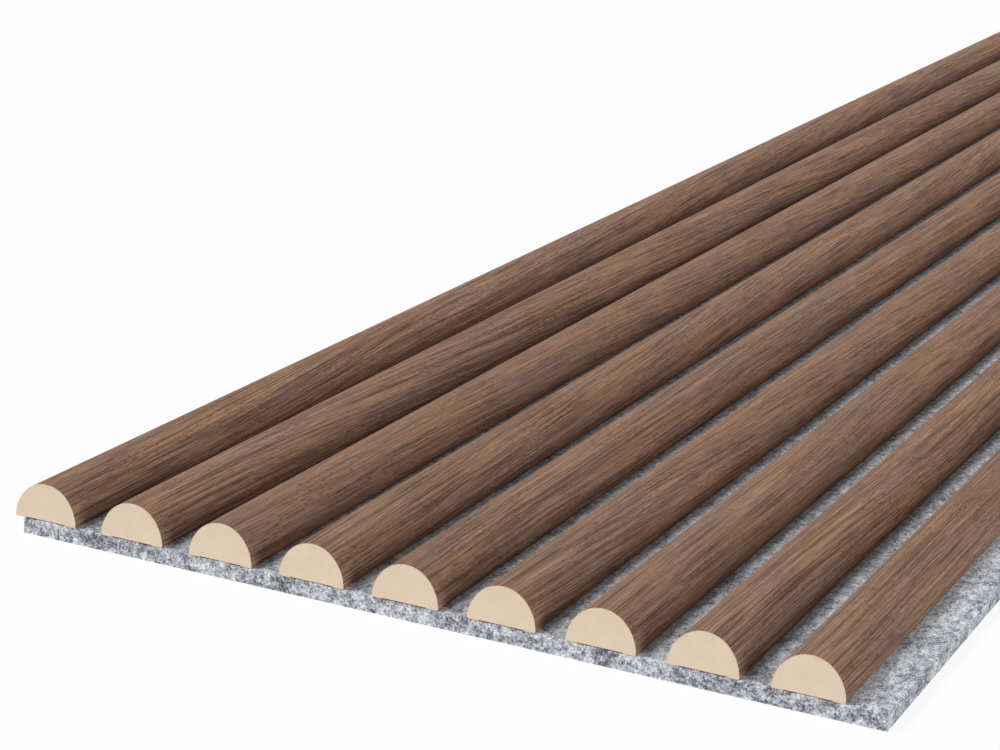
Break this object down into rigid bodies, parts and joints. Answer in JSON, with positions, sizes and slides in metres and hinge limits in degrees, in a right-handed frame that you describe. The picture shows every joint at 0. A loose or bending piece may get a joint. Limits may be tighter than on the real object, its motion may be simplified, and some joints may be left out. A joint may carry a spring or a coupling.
{
  "type": "acoustic slat wall panel",
  "caption": "Long acoustic wall panel: half-round walnut-veneered slats on MDF cores, glued and stapled side by side to a grey felt backing board.",
  "frame": {"origin": "middle of the felt's flat back face, the face that goes on the wall", "axes": "+Z out of the wall, from the felt to the crowns of the slats; +Y along the slats; +X across them, from slat 1, which stands out past the felt, to slat 9"},
  "size_m": [0.3033, 2.4, 0.0185],
  "materials": {
    "felt": "matte",
    "mdf": "matte",
    "walnut": "satin",
    "glue": "satin",
    "staple_wire": "satin"
  },
  "bodies": {
    "root": {"felt_backing": "felt", "slat_core_1": "mdf", "slat_core_2": "mdf", "slat_core_3": "mdf", "slat_core_4": "mdf", "slat_core_5": "mdf", "slat_core_6": "mdf", "slat_core_7": "mdf", "slat_core_8": "mdf", "slat_core_9": "mdf", "slat_veneer_1": "walnut", "slat_veneer_2": "walnut", "slat_veneer_3": "walnut", "slat_veneer_4": "walnut", "slat_veneer_5": "walnut", "slat_veneer_6": "walnut", "slat_veneer_7": "walnut", "slat_veneer_8": "walnut", "slat_veneer_9": "walnut", "glue_beads": "glue", "staples": "staple_wire"}
  },
  "joints": []
}
